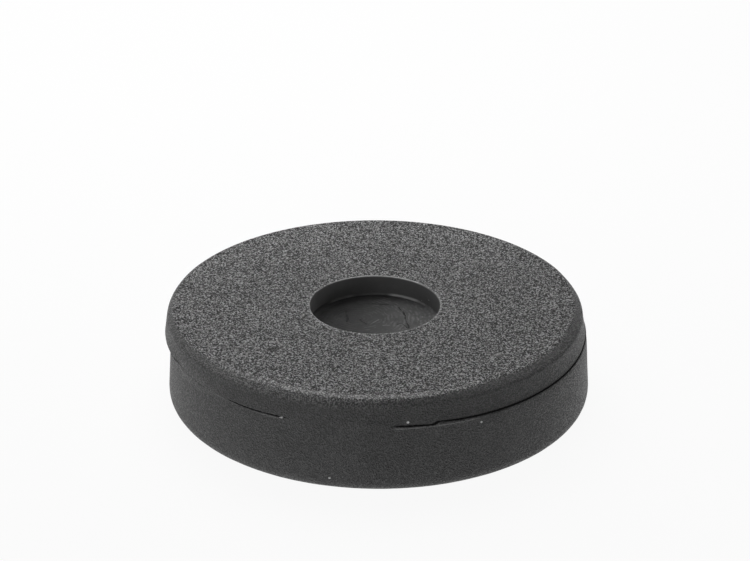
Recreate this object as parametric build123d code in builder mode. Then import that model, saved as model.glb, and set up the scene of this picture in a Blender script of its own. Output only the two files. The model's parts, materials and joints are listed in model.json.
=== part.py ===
from build123d import *
import math
import os

# Furniture glide: a solid disc, moulded in one shot, that the foot of a bench or a desk
# stands on. Its upper and lower halves were formed in two halves of a mould that met a
# little out of line, so a step runs round the side where they part, with a fine crease
# in it. The end of the furniture's levelling bolt stands in the shallow recess on top.
# Millimetres, +Z up, with the origin at the middle of the sole.

# Upper half, from the parting line up to the top face
upper_radius = 20.08  # at the parting line
upper_height = 2.4
upper_draft = 8.6  # degrees that the side leans in towards the top face
shoulder_radius = 0.7

# Lower half, from the sole up to the parting line
lower_radius = 19.87  # at the parting line
lower_height = 6.6
lower_flare = 3.2  # degrees that the side leans out towards the sole
sole_edge_radius = 1.33

# Where the lower half lies, seen from the upper half's axis
mismatch_x = 0.355
mismatch_y = -0.3

# Crease along the parting line, closed over a short stretch at the front
crease_width = 0.2  # where it opens at the side
crease_depth = 0.5
crease_start = -85.0  # degrees round +Z from +X
crease_sweep = 329.0  # degrees

# Recess in the top face
recess_radius = 6.2
recess_depth = 1.97
recess_rim_radius = 0.15
recess_floor_radius = 0.3

disc_height = lower_height + upper_height
top_radius = upper_radius - upper_height * math.tan(math.radians(upper_draft))
sole_radius = lower_radius + lower_height * math.tan(math.radians(lower_flare))
lower_centre = Vector(mismatch_x, mismatch_y, 0)

with BuildPart() as glide:
    # Upper half: drawn in towards the top face, and rounded over at its shoulder
    with BuildSketch(Plane.XZ):
        with BuildLine():
            Polyline(
                (0, lower_height),
                (upper_radius, lower_height),
                (top_radius, disc_height),
                (0, disc_height),
                close=True,
            )
        make_face()
    revolve(axis=Axis.Z)
    top_edge = glide.edges().filter_by(GeomType.CIRCLE).sort_by(Axis.Z)[-1]
    fillet(top_edge, shoulder_radius)

    # Lower half: flared towards the sole, and set off from the upper half's axis
    with BuildSketch(Plane(origin=lower_centre, x_dir=(1, 0, 0), z_dir=(0, -1, 0))):
        with BuildLine():
            Polyline(
                (0, 0),
                (sole_radius, 0),
                (lower_radius, lower_height),
                (0, lower_height),
                close=True,
            )
        make_face()
    revolve(axis=Axis(lower_centre, (0, 0, 1)))
    sole_edge = glide.edges().filter_by(GeomType.CIRCLE).sort_by(Axis.Z)[0]
    fillet(sole_edge, sole_edge_radius)

    # Crease: a V cut to one depth round the middle between the two halves' axes. The
    # cutter is twice as deep as the crease, so the V has its full width at the side.
    crease_centre = lower_centre / 2 + Vector(0, 0, lower_height)
    crease_out = Vector(1, 0, 0).rotate(Axis.Z, crease_start)
    crease_plane = Plane(
        origin=crease_centre,
        x_dir=crease_out,
        z_dir=crease_out.cross(Vector(0, 0, 1)),
    )
    with BuildSketch(crease_plane):
        with BuildLine():
            Polyline(
                (upper_radius - crease_depth, 0),
                (upper_radius + crease_depth, crease_width),
                (upper_radius + crease_depth, -crease_width),
                close=True,
            )
        make_face()
    revolve(
        axis=Axis(crease_centre, (0, 0, 1)),
        revolution_arc=crease_sweep,
        mode=Mode.SUBTRACT,
    )

    # Recess: a blind pocket with a rounded floor corner and a softened rim
    with Locations((0, 0, disc_height)):
        Hole(recess_radius, recess_depth)
    floor_edge = glide.edges(Select.LAST).filter_by(GeomType.CIRCLE).sort_by(Axis.Z)[0]
    fillet(floor_edge, recess_floor_radius)
    top_circles = glide.edges().filter_by(GeomType.CIRCLE).group_by(Axis.Z)[-1]
    fillet(top_circles.sort_by(SortBy.RADIUS)[0], recess_rim_radius)

glide.part.label = "glide_disc"

os.makedirs("parts", exist_ok=True)
export_step(glide.part, "parts/glide_disc.step")
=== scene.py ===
"""Furniture glide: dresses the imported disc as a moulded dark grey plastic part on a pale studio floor."""
import json
import math

import bmesh
import bpy
from mathutils import Matrix, Vector, noise


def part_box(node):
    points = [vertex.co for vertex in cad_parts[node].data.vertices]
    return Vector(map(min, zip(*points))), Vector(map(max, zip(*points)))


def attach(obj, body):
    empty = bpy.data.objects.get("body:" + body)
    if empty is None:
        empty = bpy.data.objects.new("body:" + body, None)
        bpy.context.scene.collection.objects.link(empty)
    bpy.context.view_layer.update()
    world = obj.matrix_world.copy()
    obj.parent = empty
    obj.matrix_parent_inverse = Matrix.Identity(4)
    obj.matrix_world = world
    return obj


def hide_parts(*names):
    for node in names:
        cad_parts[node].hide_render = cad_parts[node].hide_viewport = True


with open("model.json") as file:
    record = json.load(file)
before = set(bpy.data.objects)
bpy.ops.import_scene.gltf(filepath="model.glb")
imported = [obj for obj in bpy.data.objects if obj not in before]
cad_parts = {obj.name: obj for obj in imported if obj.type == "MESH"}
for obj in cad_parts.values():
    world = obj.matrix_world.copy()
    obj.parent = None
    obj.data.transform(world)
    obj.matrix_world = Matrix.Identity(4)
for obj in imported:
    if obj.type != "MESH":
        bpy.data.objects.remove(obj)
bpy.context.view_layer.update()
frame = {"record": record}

# --- Glide disc -----------------------------------------------------------------------
# The whole part: a solid disc, injection moulded in dark grey plastic. Its two mould
# halves met a little out of line, which left a step and a broken crease round the side,
# and every surface came out of the mould slightly uneven.

MM = 0.001
mounts = {mount["name"]: mount for mount in frame["record"]["mounts"]}
disc_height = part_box("glide_disc")[1].z
upper_radius = 20.06 * MM
recess_radius = mounts["recess"]["dims"]["r_mm"] * MM
recess_floor_height = mounts["recess_floor"]["pos_m"][2]
parting_height = 6.6 * MM
brow_radius = 19.82 * MM
brow_height = 8.45 * MM
flat_radius = 19.5 * MM
lower_radius = 19.86 * MM
lower_flare = math.radians(3.2)
sole_edge_radius = 1.16 * MM
rim_radius = 0.1 * MM
recess_corner_radius = 0.12 * MM
mismatch = Vector((0.355, -0.3, 0.0)) * MM
crease_height = 0.2 * MM
crease_depth = 0.5 * MM
quarter_turn_steps = 130

# The pit in the top face, in plain millimetres
pit_centre = Vector((-9.5, -9.38))
pit_width = 0.28
pit_depth = 0.08


def add_outline(bm, corners):
    """Joins (radius, height) corners into one open line in the XZ plane."""
    verts = [bm.verts.new((radius, 0.0, height)) for radius, height in corners]
    for first, second in zip(verts, verts[1:]):
        bm.edges.new((first, second))
    return verts


def round_corner(bm, corner, radius, segments):
    """Rounds one corner of the outline to an arc of the given radius."""
    ways = [edge.other_vert(corner).co - corner.co for edge in corner.link_edges]
    bmesh.ops.bevel(
        bm,
        geom=[corner],
        offset=radius / math.tan(ways[0].angle(ways[1]) / 2),
        offset_type="OFFSET",
        segments=segments,
        profile=0.5,
        affect="VERTICES",
        material=-1,
    )


def ring_spacing(edge):
    """How far apart the rings lie along a stretch of the outline."""
    middle = (edge.verts[0].co + edge.verts[1].co) / 2
    if middle.z < 0.01 * MM:
        return 1.6 * MM
    if middle.x < recess_radius:
        return 0.3 * MM
    return 0.2 * MM


def rank(face):
    """Ranks a face by its corners, because a spin makes faces in no fixed order."""
    corners = sorted(vert.index for vert in face.verts)
    return (corners[0] * 100_000 + corners[-1]) * 100_000 + corners[1]


def turn_outline(bm):
    """Divides the outline's straight stretches and turns it into a closed round solid."""
    for edge in bm.edges[:]:
        cuts = math.ceil(edge.calc_length() / ring_spacing(edge)) - 1
        if cuts > 0:
            bmesh.ops.subdivide_edges(bm, edges=[edge], cuts=cuts)
    bmesh.ops.spin(
        bm,
        geom=bm.verts[:] + bm.edges[:],
        cent=(0.0, 0.0, 0.0),
        axis=(0.0, 0.0, 1.0),
        angle=math.pi / 2,
        steps=quarter_turn_steps,
        use_merge=False,
    )
    for axis in ("X", "Y"):
        bmesh.ops.mirror(
            bm,
            geom=bm.verts[:] + bm.edges[:] + bm.faces[:],
            matrix=Matrix.Identity(4),
            merge_dist=0.0001 * MM,
            axis=axis,
        )
    bmesh.ops.remove_doubles(bm, verts=bm.verts[:], dist=0.001 * MM)
    bmesh.ops.recalc_face_normals(bm, faces=bm.faces[:])
    bm.verts.index_update()
    bm.faces.sort(key=rank)


def eased(value, low_end, high_end):
    """0 up to low_end, 1 from high_end, and a smooth rise between them."""
    share = min(max((value - low_end) / (high_end - low_end), 0.0), 1.0)
    return share * share * (3 - 2 * share)


def along(stations, angle):
    """The value at an angle between stations of (degrees, value) round the disc."""
    for (start, before), (end, after) in zip(stations, stations[1:]):
        if start <= angle <= end:
            return before + (after - before) * (angle - start) / (end - start)
    return stations[-1][1]


# How open the crease is round the disc, and how far it wanders off the parting height
crease_opening = (
    (-180, 1.0), (-173, 1.9), (-163, 1.8), (-157, 0.2), (-145, 0.2), (-139, 0.7), (-130, 1.6),
    (-124, 1.5), (-119, 0.9), (-117, 1.0), (-115.6, 1.0), (-114.4, 0.0), (-86.5, 0.0),
    (-84.5, 0.6), (-78, 0.6), (-74, 0.5), (-70, 0.6), (-55, 0.6), (-40, 0.5), (0, 0.5),
    (60, 0.8), (120, 0.8), (180, 0.8),
)
crease_wander = (
    (-180, 0.0), (-134, -0.04), (-125, -0.07), (-116, 0.02), (-85, 0.05), (-80, 0.0),
    (-75.2, -0.08), (-73.9, 0.2), (-72.2, 0.15), (-69, 0.08), (-62, 0.02), (-50, -0.02),
    (0, 0.0), (180, 0.0),
)

# How far in from its usual place the top's flat ends, where the shoulder is broader
shoulder_broadening = (
    (-180, 0.1), (-160, 0.3), (-150, 0.4), (-125, 0.4), (-112, 0.25), (-100, 0.12), (-84, 0.08),
    (-74, 0.2), (-64, 0.4), (-55, 0.6), (-15, 0.6), (25, 0.0), (155, 0.0), (180, 0.1),
)


def shape_side(vert):
    """Sets the lower half off, opens or closes the crease and lets it wander."""
    radius = math.hypot(vert.co.x, vert.co.y)
    angle = math.degrees(math.atan2(vert.co.y, vert.co.x))
    if vert.co.z > brow_height:
        broadening = along(shoulder_broadening, angle) * MM
        pull = eased(radius, 15.0 * MM, flat_radius) * eased(vert.co.z, brow_height, disc_height)
        vert.co -= Vector((vert.co.x, vert.co.y, 0.0)).normalized() * broadening * pull
    drop = vert.co.z - parting_height
    lip = crease_height / 2
    outwards = Vector((vert.co.x, vert.co.y, 0.0)).normalized()
    lower_share = 1 - eased(drop, -lip, lip)
    if radius > upper_radius - 2 * crease_depth and vert.co.z > 0:
        opening = along(crease_opening, angle)
        closed = 1 - min(opening, 1.0)
        near = 1 - eased(abs(drop), lip, 1.0 * MM)
        set_off = mismatch.dot(outwards)
        if abs(drop) < lip * 0.99:
            flush = (upper_radius + lower_radius + set_off) / 2
            vert.co += outwards * (flush - radius - set_off * lower_share) * closed
        else:
            step = upper_radius - lower_radius - set_off
            vert.co += outwards * step * (lower_share - 0.5) * near * closed
        if abs(drop) < lip * 1.01:
            vert.co.z = parting_height + drop * max(opening, 0.5)
        ragged = 0.05 * noise.noise(Vector((angle * 1.3, 0.0, 0.0)))
        vert.co.z += (along(crease_wander, angle) + ragged) * MM * near
    vert.co += mismatch * lower_share


def shade_in_crease(vert):
    """How much painted shade the crease gets: 1 at the bottom of the crease where it is open, 0 at its lips
    and elsewhere.
    """
    depth = 1 - abs(vert.co.z - parting_height) / (crease_height / 2)
    if depth < 0 or math.hypot(vert.co.x, vert.co.y) < upper_radius - 2 * crease_depth:
        return 0.0
    angle = math.degrees(math.atan2(vert.co.y, vert.co.x))
    return depth * eased(along(crease_opening, angle), 0.2, 0.6)


sole_radius = lower_radius + parting_height * math.tan(lower_flare)
bm = bmesh.new()
outline = add_outline(
    bm,
    (
        (0.0, 0.0),
        (sole_radius, 0.0),
        (lower_radius, parting_height - crease_height / 2),
        (upper_radius - crease_depth, parting_height),
        (upper_radius, parting_height + crease_height / 2),
        (brow_radius, brow_height),
        (flat_radius, disc_height),
        (recess_radius, disc_height),
        (recess_radius, recess_floor_height),
        (0.0, recess_floor_height),
    ),
)
round_corner(bm, outline[8], recess_corner_radius, 5)
round_corner(bm, outline[7], rim_radius, 4)
round_corner(bm, outline[6], 0.5 * MM, 7)
round_corner(bm, outline[5], 1.2 * MM, 7)
round_corner(bm, outline[1], sole_edge_radius, 9)
turn_outline(bm)
for face in bm.faces:
    middle = face.calc_center_median()
    in_recess = math.hypot(middle.x, middle.y) < recess_radius + 0.02 * MM
    face.material_index = 1 if in_recess and middle.z > 1.0 * MM else 0
# Where the crease's painted shade falls, kept on each corner
crease_shade_mask = bm.verts.layers.float.new("crease_shade_mask")
for vert in bm.verts:
    vert[crease_shade_mask] = shade_in_crease(vert)
for vert in bm.verts:
    shape_side(vert)
bm.normal_update()

# The moulding's unevenness: broad and close ripples of a few hundredths of a millimetre,
# fainter on the top face, and one small pit there
for vert in bm.verts:
    if vert.co.z > 0.01 * MM:
        place_mm = vert.co / MM
        broad = 0.5 + 0.5 * noise.noise(place_mm * 0.4)
        close = 0.5 + 0.5 * noise.noise(place_mm * 1.9 + Vector((7, 3, 5)))
        pit_away = (Vector((place_mm.x, place_mm.y)) - pit_centre).length
        pit = pit_depth * math.exp(-((pit_away / pit_width) ** 2)) if place_mm.z > 8.5 else 0.0
        roughly = 0.3 + 0.7 * eased(disc_height - vert.co.z, 0.0, 1.0 * MM)
        vert.co -= vert.normal * ((0.02 * broad + 0.012 * close) * roughly + pit) * MM
glide_mesh = bpy.data.meshes.new("glide_disc_moulding")
bm.to_mesh(glide_mesh)
bm.free()
for polygon in glide_mesh.polygons:
    polygon.use_smooth = True
glide = bpy.data.objects.new("moulded_disc", glide_mesh)
bpy.context.scene.collection.objects.link(glide)


def new_group(name, inputs, outputs):
    """An empty shader node group with the named inputs and outputs."""
    group = bpy.data.node_groups.new(name, "ShaderNodeTree")
    for socket, kind in inputs.items():
        group.interface.new_socket(name=socket, in_out="INPUT", socket_type="NodeSocket" + kind)
    for socket, kind in outputs.items():
        group.interface.new_socket(name=socket, in_out="OUTPUT", socket_type="NodeSocket" + kind)
    return group


def place(tree, kind, inputs, **settings):
    """Adds a node with its settings, its inputs fed by sockets or plain values."""
    node = tree.nodes.new(kind if kind.startswith("NodeGroup") else "ShaderNode" + kind)
    for setting, value in settings.items():
        setattr(node, setting, value)
    for socket, source in inputs.items():
        if isinstance(source, bpy.types.NodeSocket):
            tree.links.new(source, node.inputs[socket])
        else:
            node.inputs[socket].default_value = source
    return node


def work_out(tree, operation, *values):
    """The result of one Math node."""
    return place(tree, "Math", dict(enumerate(values)), operation=operation).outputs[0]


def times(tree, value, factor):
    """A value times a factor."""
    return work_out(tree, "MULTIPLY", value, factor)


def times_plus(tree, value, factor, rest):
    """A value times a factor, plus the rest."""
    return work_out(tree, "MULTIPLY_ADD", value, factor, rest)


def rise(tree, value, low_end, high_end, low_result=0.0, high_result=1.0):
    """A smooth step from one result to the other between two ends of a value."""
    inputs = {"Value": value, "From Min": low_end, "From Max": high_end}
    inputs |= {"To Min": low_result, "To Max": high_result}
    return place(tree, "MapRange", inputs, interpolation_type="SMOOTHSTEP").outputs["Result"]


# Mould grain: rounded pebbles with narrow valleys, as a height and as a shade
mould_grain = new_group(
    "mould_grain",
    {"Vector": "Vector", "Per Metre": "Float"},
    {"Height": "Float", "Shade": "Float"},
)
ins = mould_grain.nodes.new("NodeGroupInput").outputs
ripple = place(
    mould_grain,
    "TexNoise",
    {"Vector": ins["Vector"], "Scale": ins["Per Metre"], "Detail": 1.0, "Distortion": 0.2},
).outputs["Fac"]
pebble_scale = times(mould_grain, ins["Per Metre"], 0.9)
pebbles = place(
    mould_grain,
    "TexVoronoi",
    {"Vector": ins["Vector"], "Scale": pebble_scale},
    feature="F1",
).outputs["Distance"]
domes = times_plus(mould_grain, pebbles, -0.25, 0.25)
grain_height = times_plus(mould_grain, ripple, 0.75, domes)
grain_shade = rise(mould_grain, grain_height, 0.40, 0.66)
place(mould_grain, "NodeGroupOutput", {"Height": grain_height, "Shade": grain_shade})

# Dust: pale specks, sparse and uneven in size
dust_specks = new_group(
    "dust_specks",
    {"Vector": "Vector", "Per Metre": "Float", "Size": "Float"},
    {"Mask": "Float"},
)
ins = dust_specks.nodes.new("NodeGroupInput").outputs
cells = place(
    dust_specks,
    "TexVoronoi",
    {"Vector": ins["Vector"], "Scale": ins["Per Metre"]},
    feature="F1",
).outputs
chance = place(dust_specks, "SeparateXYZ", {"Vector": cells["Color"]}).outputs["X"]
rarity = work_out(dust_specks, "POWER", chance, 3.0)
speck_size = times(dust_specks, ins["Size"], rarity)
least_size = work_out(dust_specks, "MAXIMUM", speck_size, 0.001)
speck_depth = work_out(dust_specks, "DIVIDE", cells["Distance"], least_size)
place(dust_specks, "NodeGroupOutput", {"Mask": rise(dust_specks, speck_depth, 1.0, 0.5)})

# Scratch: a straight mark of a given width between two points
scratch = new_group(
    "scratch",
    {"Vector": "Vector", "Start": "Vector", "End": "Vector", "Width": "Float"},
    {"Mask": "Float"},
)
ins = scratch.nodes.new("NodeGroupInput").outputs


def work_out_vector(tree, operation, *values, result="Vector"):
    """The result of one Vector Math node."""
    return place(tree, "VectorMath", dict(enumerate(values)), operation=operation).outputs[result]


def scale_vector(tree, vector, factor):
    """A vector times a factor."""
    return place(tree, "VectorMath", {0: vector, "Scale": factor}, operation="SCALE").outputs["Vector"]


from_start = work_out_vector(scratch, "SUBTRACT", ins["Vector"], ins["Start"])
whole = work_out_vector(scratch, "SUBTRACT", ins["End"], ins["Start"])
reach = work_out_vector(scratch, "DOT_PRODUCT", from_start, whole, result="Value")
squared = work_out_vector(scratch, "DOT_PRODUCT", whole, whole, result="Value")
reach_share = work_out(scratch, "DIVIDE", reach, squared)
share = place(scratch, "Clamp", {"Value": reach_share}).outputs["Result"]
along_it = scale_vector(scratch, whole, share)
away = work_out_vector(scratch, "DISTANCE", from_start, along_it, result="Value")
away_share = work_out(scratch, "DIVIDE", away, ins["Width"])
place(scratch, "NodeGroupOutput", {"Mask": rise(scratch, away_share, 0.6, 0.3)})


def add_scratches(tree, vector, paths, width):
    """One mask of several scratches, each a path of points in millimetres."""
    mask = 0.0
    for path in paths:
        for start, end in zip(path, path[1:]):
            ends = {"Vector": vector, "Start": Vector(start) * MM, "End": Vector(end) * MM}
            mark = place(tree, "Group", ends | {"Width": width}, node_tree=scratch)
            mask = work_out(tree, "MAXIMUM", mask, mark.outputs["Mask"])
    return mask


def mix_numbers(tree, share, first, second):
    """The mix of two plain numbers or values."""
    inputs = {"Factor": share, "A": first, "B": second}
    return place(tree, "Mix", inputs, data_type="FLOAT").outputs["Result"]


def set_grey(tree, grey):
    """Makes a grey value the base colour."""
    colour = place(tree, "CombineColor", {"Red": grey, "Green": grey, "Blue": grey}).outputs["Color"]
    tree.links.new(colour, tree.nodes["Principled BSDF"].inputs["Base Color"])


def set_bump(tree, height, depth):
    """Makes a height raise the surface by up to a depth."""
    bump = place(tree, "Bump", {"Height": height, "Distance": depth})
    tree.links.new(bump.outputs["Normal"], tree.nodes["Principled BSDF"].inputs["Normal"])


def from_middle(tree, where):
    """How far a place is from the disc's axis."""
    flat_place = place(tree, "CombineXYZ", {"X": where["X"], "Y": where["Y"]}).outputs["Vector"]
    return work_out_vector(tree, "LENGTH", flat_place, result="Value")


def round_disc(tree, where):
    """The bearing of a place round the disc, in degrees from +X."""
    return work_out(tree, "DEGREES", work_out(tree, "ARCTAN2", where["Y"], where["X"]))


def between(tree, value, start, full_start, full_end, end):
    """1 between the two full ends of a value, fading to 0 at the outer ends."""
    return times(tree, rise(tree, value, start, full_start), rise(tree, value, end, full_end))


plastic = bpy.data.materials.new("moulded_plastic")
plastic.use_nodes = True
tree = plastic.node_tree
on_object = place(tree, "TexCoord", {}).outputs["Object"]
where = place(tree, "SeparateXYZ", {"Vector": on_object}).outputs
from_axis = from_middle(tree, where)
bearing = round_disc(tree, where)
grain = place(tree, "Group", {"Vector": on_object, "Per Metre": 7166.0}, node_tree=mould_grain).outputs
shade = grain["Shade"]
mottle = place(tree, "TexNoise", {"Vector": on_object, "Scale": 420.0, "Detail": 2.0}).outputs["Fac"]
clouds = place(tree, "TexNoise", {"Vector": on_object, "Scale": 95.0, "Detail": 1.0}).outputs["Fac"]
flat_top = disc_height - 0.015 * MM

# The top face: dark valleys, grey ridges, and a painted highlight along the front rim and round the mouth
front_rim_highlight = between(
    tree,
    from_axis,
    flat_radius - 1.4 * MM,
    flat_radius - 0.9 * MM,
    flat_radius - 0.5 * MM,
    flat_radius - 0.1 * MM,
)
front_rim_highlight = times(tree, front_rim_highlight, between(tree, bearing, -160.0, -112.0, -88.0, -55.0))
mouth_ring_highlight = rise(tree, from_axis, recess_radius + 0.3 * MM, recess_radius + 0.12 * MM)
rim_highlights = work_out(tree, "MAXIMUM", front_rim_highlight, mouth_ring_highlight)
toward_rim = rise(tree, from_axis, 8.0 * MM, 19.0 * MM, 0.92, 1.06)
ridge_grey = times_plus(tree, mottle, 0.12, 0.155)
ridge_grey = times_plus(tree, clouds, 0.16, ridge_grey)
ridge_grey = times(tree, ridge_grey, toward_rim)
# Painted highlight: the front rim and the ring round the mouth are made paler
ridge_grey = times_plus(tree, rim_highlights, 0.05, ridge_grey)
ridges = work_out(tree, "POWER", shade, 1.65)
top_grey = times_plus(tree, ridges, ridge_grey, 0.012)
top_grey = times_plus(tree, rim_highlights, 0.08, top_grey)

# The side: darker and smoother, paler towards the sole as painted light bounced from the floor, and with a
# painted highlight on the shoulder
side_grey = times_plus(tree, mottle, 0.03, 0.033)
side_grey = times_plus(tree, shade, 0.022, side_grey)
# Painted light: paler towards the sole, as if lit from the floor below
painted_floor_bounce = rise(tree, where["Z"], 4.5 * MM, 0.5 * MM, 1.0, 1.4)
side_grey = times(tree, side_grey, painted_floor_bounce)
# Painted highlight on the shoulder's ridges, strongest at the front
shoulder_share = rise(tree, where["Z"], disc_height - 1.0 * MM, disc_height - 0.2 * MM)
shoulder_highlight_share = between(tree, bearing, -155.0, -118.0, -102.0, -70.0)
shoulder_highlight_share = times_plus(tree, shoulder_highlight_share, 0.8, 0.3)
shoulder_highlight = times(tree, shoulder_share, shoulder_highlight_share)
highlit_shoulder_ridges = times(tree, shoulder_highlight, shade)
side_grey = times_plus(tree, highlit_shoulder_ridges, 0.14, side_grey)
on_top = rise(tree, where["Z"], disc_height - 0.14 * MM, flat_top)
grey = mix_numbers(tree, on_top, side_grey, top_grey)

# The pit's dark bottom
pit_grey = 0.006
pit_bottom = (((-9.6, -9.4, 8.97), (-9.15, -9.3, 8.97)),)
in_pit = add_scratches(tree, on_object, pit_bottom, 0.8 * MM)
grey = mix_numbers(tree, in_pit, grey, pit_grey)

# A painted highlight on the lower half's lip, just under the crease
lip_highlight_grey = 0.17
crease_lip = between(
    tree,
    where["Z"],
    parting_height - 0.32 * MM,
    parting_height - 0.22 * MM,
    parting_height - 0.15 * MM,
    parting_height - 0.08 * MM,
)
left_lip = between(tree, bearing, -145.0, -136.0, -117.0, -115.5)
right_lip = between(tree, bearing, -85.5, -84.0, -66.0, -58.0)
lip_highlight = times(tree, crease_lip, work_out(tree, "MAXIMUM", left_lip, right_lip))
grey = mix_numbers(tree, lip_highlight, grey, lip_highlight_grey)

# Painted shade: dark in the bottom of the open crease, and under the upper half's edge at the far left
dark_shade_grey = 0.003
bottom_shade = place(tree, "Attribute", {}, attribute_name="crease_shade_mask").outputs["Fac"]
bottom_shade = rise(tree, bottom_shade, 0.05, 0.35)
ledge_edge = between(
    tree,
    where["Z"],
    parting_height - 0.04 * MM,
    parting_height + 0.02 * MM,
    parting_height + 0.12 * MM,
    parting_height + 0.22 * MM,
)
ledge_shade = times(tree, ledge_edge, between(tree, bearing, -180.0, -176.0, -162.0, -150.0))
painted_shade = work_out(tree, "MAXIMUM", bottom_shade, ledge_shade)
grey = mix_numbers(tree, painted_shade, grey, dark_shade_grey)

# A painted highlight round the recess's mouth, strongest at the back
mouth_highlight_grey = 0.6
mouth_highlight = between(
    tree,
    from_axis,
    recess_radius - 0.1 * MM,
    recess_radius,
    recess_radius + 0.08 * MM,
    recess_radius + 0.17 * MM,
)
highlight_back_share = between(tree, bearing, 30.0, 65.0, 110.0, 145.0)
highlight_back_share = times_plus(tree, highlight_back_share, 0.8, 0.2)
mouth_highlight = times(tree, mouth_highlight, highlight_back_share)
grey = mix_numbers(tree, mouth_highlight, grey, mouth_highlight_grey)

dust_grey = 0.16
dust = {"Vector": on_object, "Per Metre": 700.0, "Size": 0.09}
dusty = place(tree, "Group", dust, node_tree=dust_specks).outputs["Mask"]
grey = mix_numbers(tree, dusty, grey, dust_grey)

# Four small pale chips on the front of the side, by bearing, radius, height and length
chip_grey = 0.8
chips = []
for chip_bearing, radius, height, length in (
    (-115.4, 20.0, 6.55, 0.2),
    (-81.6, 20.0, 6.96, 0.04),
    (-61.8, 20.33, 5.96, 0.04),
    (-101.7, 20.3, 1.33, 0.06),
):
    turn = math.radians(chip_bearing)
    spot = Vector((radius * math.cos(turn), radius * math.sin(turn), height))
    chips.append((spot, spot + Vector((length, 0.0, 0.0))))
chipped = add_scratches(tree, on_object, chips, 0.23 * MM)
grey = mix_numbers(tree, chipped, grey, chip_grey)
set_grey(tree, grey)

# Full grain on the top face and a little less on the side, shinier on its ridges
grain_depth = rise(tree, where["Z"], disc_height - 0.7 * MM, flat_top, 0.75, 0.9)
set_bump(tree, times(tree, grain["Height"], grain_depth), 0.32 * MM)
top_rough = times_plus(tree, shade, -0.57, 0.85)
side_rough = times_plus(tree, shade, -0.35, 0.65)
roughness = mix_numbers(tree, on_top, side_rough, top_rough)
# Fully rough where the shade is painted
roughness = mix_numbers(tree, painted_shade, roughness, 1.0)
tree.links.new(roughness, tree.nodes["Principled BSDF"].inputs["Roughness"])

# The recess was shaped by a polished core pin: smooth, with the pin's turning marks on its floor, scratches
# from what stood in it, and painted light that makes its floor paler towards +X
pin_face = bpy.data.materials.new("core_pin_finish")
pin_face.use_nodes = True
tree = pin_face.node_tree
tree.nodes["Principled BSDF"].inputs["Specular IOR Level"].default_value = 0.3
on_object = place(tree, "TexCoord", {}).outputs["Object"]
where = place(tree, "SeparateXYZ", {"Vector": on_object}).outputs
from_axis = from_middle(tree, where)
bearing = round_disc(tree, where)
wobble = place(tree, "TexNoise", {"Vector": on_object, "Scale": 700.0, "Detail": 2.0}).outputs["Color"]
wobble = work_out_vector(tree, "SUBTRACT", wobble, (0.5, 0.5, 0.5))
wobble = scale_vector(tree, wobble, 0.5 * MM)
bent_place = work_out_vector(tree, "ADD", on_object, wobble)
patches = place(tree, "TexNoise", {"Vector": on_object, "Scale": 900.0, "Detail": 3.0}).outputs["Fac"]
on_floor = rise(tree, where["Z"], recess_floor_height + 0.25 * MM, recess_floor_height + 0.02 * MM)

# Turning marks: rings about a centre off to one side, broken into streaks
ring_shift = Vector((1.6, -0.9, 0.0)) * MM
pin_centre = place(tree, "Mapping", {"Vector": bent_place, "Location": ring_shift}).outputs["Vector"]
turning = place(
    tree,
    "TexWave",
    {"Vector": pin_centre, "Scale": 800.0, "Distortion": 3.0, "Detail": 2.0, "Detail Scale": 2.0},
    wave_type="RINGS",
    rings_direction="Z",
).outputs["Fac"]
streaks = place(tree, "TexNoise", {"Vector": bent_place, "Scale": 1500.0, "Detail": 3.0}).outputs["Fac"]
turning = times(tree, turning, rise(tree, streaks, 0.4, 0.65))

# The floor: paler towards +X as painted light, with painted light in its corner and a painted highlight
# along its back edge
edge_highlight_grey = 0.5
# Painted light: the floor's -X part stays dark as in the wall's shadow, and the +X part is made paler
painted_light_share = times(tree, rise(tree, where["X"], -4.0 * MM, 5.5 * MM), on_floor)
lit_floor_grey = times_plus(tree, patches, 0.14, 0.004)
floor_grey = times_plus(tree, painted_light_share, lit_floor_grey, 0.004)
floor_grey = times_plus(tree, times(tree, turning, painted_light_share), 0.07, floor_grey)
# Painted light lifting the shade in the floor's corner
corner_light_lift = rise(tree, from_axis, recess_radius - 1.0 * MM, recess_radius - 0.1 * MM, 0.0, 0.05)
floor_grey = work_out(tree, "ADD", floor_grey, corner_light_lift)
# Painted highlight along the floor's back edge, where its rounded corner meets the wall
floor_edge = rise(tree, from_axis, recess_radius - 0.2 * MM, recess_radius - 0.1 * MM)
brightest = between(tree, bearing, 44.0, 53.0, 70.0, 80.0)
fainter = between(tree, bearing, 105.0, 115.0, 128.0, 138.0)
faintest = between(tree, bearing, 30.0, 50.0, 130.0, 150.0)
edge_highlight_bearings = times_plus(tree, fainter, 0.3, brightest)
edge_highlight_bearings = times_plus(tree, faintest, 0.15, edge_highlight_bearings)
painted_edge_highlight = times(tree, floor_edge, edge_highlight_bearings)
floor_grey = mix_numbers(tree, painted_edge_highlight, floor_grey, edge_highlight_grey)

# The wall: even, and paler towards -X as painted light where the lamps leave it in shade
wall_grey = times_plus(tree, patches, 0.04, 0.075)
wall_grey = times(tree, wall_grey, rise(tree, where["X"], -6.2 * MM, -1.0 * MM, 2.4, 1.0))
grey = mix_numbers(tree, on_floor, wall_grey, floor_grey)


def lay_on_floor(paths):
    """The same paths, given in millimetres across the recess, at the height of its floor."""
    return [[(x, y, recess_floor_height / MM) for x, y in path] for path in paths]


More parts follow.
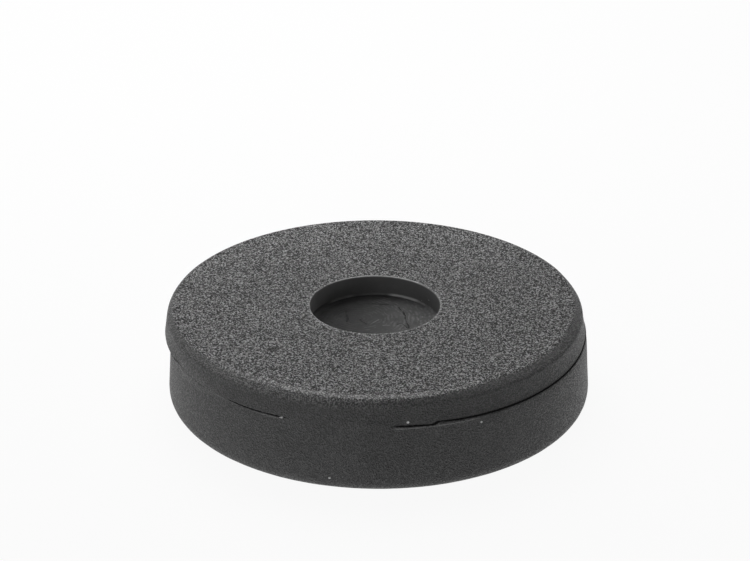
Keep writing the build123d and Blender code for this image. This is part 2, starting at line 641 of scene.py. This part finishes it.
# Scratches in the floor, some filled with dirt and some burnished
dark_paths = (
    ((-1.4, 0.6), (-0.8, -0.3)),
    ((2.4, 3.2), (2.9, 1.4), (3.2, -1.1)),
    ((2.2, -0.3), (2.6, -0.1), (3.0, -1.1)),
    ((-1.9, 4.0), (1.3, 4.0)),
    ((-2.7, 2.5), (-2.7, 0.2)),
)
bright_paths = (
    ((-0.4, -0.3), (0.3, 0.7)),
    ((0.8, -0.6), (1.4, -0.6)),
    ((2.0, -0.8), (2.4, -0.3), (2.7, -0.6), (3.0, -1.3)),
    ((2.2, 2.5), (2.9, 1.2)),
)
scratched = add_scratches(tree, bent_place, lay_on_floor(dark_paths), 0.2 * MM)
grey = mix_numbers(tree, scratched, grey, 0.001)
burnished = add_scratches(tree, bent_place, lay_on_floor(bright_paths), 0.16 * MM)
grey = mix_numbers(tree, burnished, grey, 0.11)

# A painted highlight on the lip of the mouth, and dust on the side towards +X
mouth_lip_highlight = rise(tree, where["Z"], disc_height - 0.16 * MM, disc_height - 0.08 * MM)
grey = mix_numbers(tree, mouth_lip_highlight, grey, 0.2)
dust = {"Vector": on_object, "Per Metre": 1500.0, "Size": 0.25}
dusty = place(tree, "Group", dust, node_tree=dust_specks).outputs["Mask"]
dusty = times(tree, dusty, rise(tree, where["X"], 3.5 * MM, 5.0 * MM))
grey = mix_numbers(tree, dusty, grey, 0.35)
set_grey(tree, grey)
marks = work_out(tree, "SUBTRACT", turning, times(tree, scratched, 2.0))
set_bump(tree, marks, 0.03 * MM)
roughness = times_plus(tree, patches, 0.2, 0.6)
tree.links.new(roughness, tree.nodes["Principled BSDF"].inputs["Roughness"])

glide_mesh.materials.append(plastic)
glide_mesh.materials.append(pin_face)
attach(glide, "root")
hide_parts("glide_disc")

# --- Studio floor ---------------------------------------------------------------------
# A sheet of matt white paper that the disc stands on. Seen straight or in a reflection it
# glows nearly white, and the small share that is left to the lamps keeps the disc's shadow.
floor_mesh = bpy.data.meshes.new("studio_floor")
bm = bmesh.new()
bmesh.ops.create_grid(bm, x_segments=2, y_segments=2, size=2.0)
bm.to_mesh(floor_mesh)
bm.free()
floor = bpy.data.objects.new("studio_floor", floor_mesh)
bpy.context.scene.collection.objects.link(floor)
paper = bpy.data.materials.new("studio_paper")
paper.use_nodes = True
tree = paper.node_tree
tree.nodes.clear()
glow_share = 0.93
matt = place(tree, "BsdfDiffuse", {"Color": (0.9, 0.9, 0.9, 1.0)}).outputs["BSDF"]
glow = place(tree, "Emission", {}).outputs["Emission"]
ray = place(tree, "LightPath", {}).outputs
seen = work_out(tree, "MAXIMUM", ray["Is Camera Ray"], ray["Is Glossy Ray"])
seen = work_out(tree, "MAXIMUM", seen, ray["Is Transmission Ray"])
surface = place(tree, "MixShader", {0: times(tree, seen, glow_share), 1: matt, 2: glow})
place(tree, "OutputMaterial", {"Surface": surface.outputs["Shader"]})
floor_mesh.materials.append(paper)

# --- Light ----------------------------------------------------------------------------
# Six softboxes: three behind that light the top at a slant, one low at each edge, and one
# low at the front left for the side. The three low ones reach below the floor, which hides
# that part of them. A faint even light fills the shadows.
world = bpy.data.worlds.new("studio_world")
bpy.context.scene.world = world
world.use_nodes = True
world.node_tree.nodes["Background"].inputs["Color"].default_value = (1, 1, 1, 1)
world.node_tree.nodes["Background"].inputs["Strength"].default_value = 0.03


def add_softbox(name, bearing, height_angle, distance, power):
    """A softbox that faces the disc from a bearing and a height angle in degrees."""
    light = bpy.data.lights.new(name, "AREA")
    light.shape = "RECTANGLE"
    light.size = distance * 0.7
    light.size_y = distance * 0.57
    light.energy = power
    lamp = bpy.data.objects.new(name, light)
    turn, lift = math.radians(bearing), math.radians(height_angle)
    way = Vector((math.cos(lift) * math.cos(turn), math.cos(lift) * math.sin(turn), math.sin(lift)))
    lamp.location = way * distance
    lamp.rotation_euler = way.to_track_quat("Z", "Y").to_euler()
    lamp.visible_camera = False
    bpy.context.scene.collection.objects.link(lamp)


add_softbox("key_softbox", 122, 45, 0.16, 0.063)
add_softbox("low_back_softbox", 92, 20, 0.22, 0.142)
add_softbox("high_back_softbox", 90, 62, 0.15, 0.083)
add_softbox("left_edge_softbox", 142, 8, 0.35, 0.15)
add_softbox("right_edge_softbox", 15, 10, 0.35, 0.18)
add_softbox("front_softbox", 235, 10, 0.35, 0.44)

# --- Camera ---------------------------------------------------------------------------
# A long lens 270 mm from the top of the disc, looking down at it from the front.
view_distance = 270 * MM
view_elevation = math.radians(26.2)
sight_lift = 2.2575 * MM
top_centre = Vector((0.0, 0.0, disc_height))
towards_camera = Vector((0.0, -math.cos(view_elevation), math.sin(view_elevation)))
picture_up = Vector((0.0, math.sin(view_elevation), math.cos(view_elevation)))
camera = bpy.data.objects.new("camera", bpy.data.cameras.new("camera"))
camera.data.sensor_width = 36.0
camera.data.lens = 135.87
camera.location = top_centre + towards_camera * view_distance
sight = top_centre + picture_up * sight_lift - camera.location
camera.rotation_euler = sight.to_track_quat("-Z", "Y").to_euler()
bpy.context.scene.collection.objects.link(camera)
bpy.context.scene.camera = camera
bpy.context.scene.view_settings.view_transform = "Standard"
